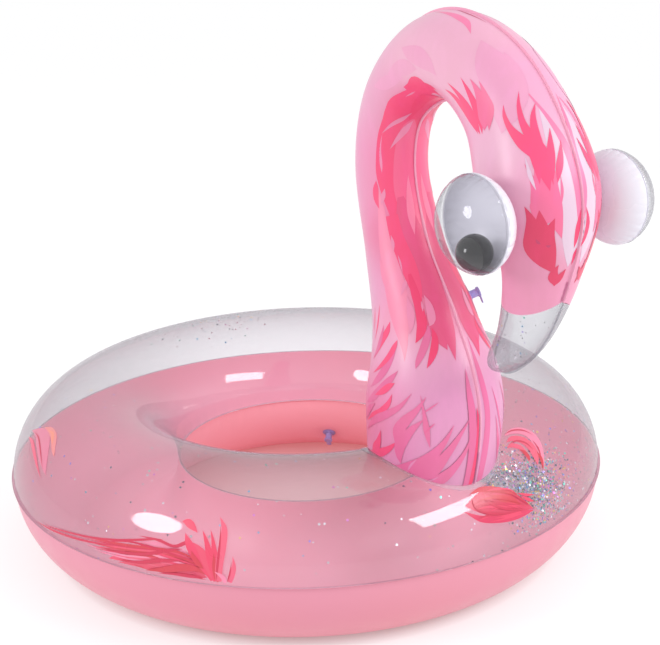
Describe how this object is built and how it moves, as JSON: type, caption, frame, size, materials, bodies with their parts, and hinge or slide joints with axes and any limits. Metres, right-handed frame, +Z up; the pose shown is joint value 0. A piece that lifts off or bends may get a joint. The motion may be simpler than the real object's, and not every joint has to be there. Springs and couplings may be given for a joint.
{
  "type": "inflatable pool float",
  "caption": "Inflatable flamingo swim ring with a clear top, a printed neck and head, ball eyes with loose pupils and soft valves.",
  "frame": {"origin": "on the floor under the middle of the whole object's bounding box", "axes": "+Z up, the bird faces -Y, the bird's left side is +X; the ring lies on z = 0"},
  "size_m": [0.9, 1.0441, 0.8117],
  "materials": {
    "clear_film": "clear soft PVC film, glossy",
    "pink_film": "opaque pink soft PVC film, satin gloss",
    "printed_film": "soft PVC film printed with pink feathers, glossy",
    "beak_film": "clear greyish soft PVC film, glossy",
    "eye_white_film": "white soft PVC film",
    "eye_clear_film": "clear soft PVC film, glossy",
    "pupil_black": "black hard plastic ball, polished",
    "valve_lilac": "translucent lilac soft moulded PVC",
    "glitter_silver": "loose silver and holographic flakes"
  },
  "bodies": {
    "float": {"ring_top_sheet": "clear_film", "ring_bottom_sheet": "pink_film", "neck_base_sheet": "clear_film", "neck_right_panel": "printed_film", "neck_left_panel": "printed_film", "beak_right_panel": "beak_film", "beak_left_panel": "beak_film", "right_eye_back_dome": "eye_white_film", "right_eye_front_dome": "eye_clear_film", "left_eye_back_dome": "eye_white_film", "left_eye_front_dome": "eye_clear_film", "ring_valve_flange": "valve_lilac", "neck_valve_flange": "valve_lilac", "glitter_heap": "glitter_silver"},
    "right_pupil": {"right_pupil": "pupil_black"},
    "left_pupil": {"left_pupil": "pupil_black"},
    "ring_valve_stem": {"ring_valve_stem": "valve_lilac"},
    "ring_valve_flap": {"ring_valve_flap": "valve_lilac"},
    "ring_valve_stopper": {"ring_valve_stopper": "valve_lilac"},
    "neck_valve_stem": {"neck_valve_stem": "valve_lilac"},
    "neck_valve_flap": {"neck_valve_flap": "valve_lilac"},
    "neck_valve_stopper": {"neck_valve_stopper": "valve_lilac"}
  },
  "joints": [
    {"name": "right_pupil_roll", "type": "hinge", "parent": "float", "child": "right_pupil", "pos_m": [-0.10541, -0.46091, 0.595], "axis": [1, 0, 0], "continuous": true},
    {"name": "left_pupil_roll", "type": "hinge", "parent": "float", "child": "left_pupil", "pos_m": [0.10541, -0.46091, 0.595], "axis": [1, 0, 0], "continuous": true},
    {"name": "ring_valve_push", "type": "slide", "parent": "float", "child": "ring_valve_stem", "axis": [-0.5148, -0.568, -0.6422], "range_m": [-0.01, 0]},
    {"name": "ring_valve_flap_hinge", "type": "hinge", "parent": "ring_valve_stem", "child": "ring_valve_flap", "pos_m": [0.15478, 0.24287, 0.05684], "axis": [0.741, -0.6716, 0], "range_deg": [0, 60], "stiffness_Nm_per_rad": 0.0002},
    {"name": "ring_stopper_pull", "type": "slide", "parent": "ring_valve_stem", "child": "ring_valve_stopper", "axis": [-0.5148, -0.568, -0.6422], "range_m": [0, 0.012]},
    {"name": "neck_valve_push", "type": "slide", "parent": "float", "child": "neck_valve_stem", "axis": [0.8769, -0.3493, 0.3301], "range_m": [-0.01, 0]},
    {"name": "neck_valve_flap_hinge", "type": "hinge", "parent": "neck_valve_stem", "child": "neck_valve_flap", "pos_m": [0.04822, -0.2462, 0.4317], "axis": [0.3701, 0.929, 0], "range_deg": [0, 60], "stiffness_Nm_per_rad": 0.0002},
    {"name": "neck_stopper_pull", "type": "slide", "parent": "neck_valve_stem", "child": "neck_valve_stopper", "axis": [0.8769, -0.3493, 0.3301], "range_m": [0, 0.012]}
  ]
}
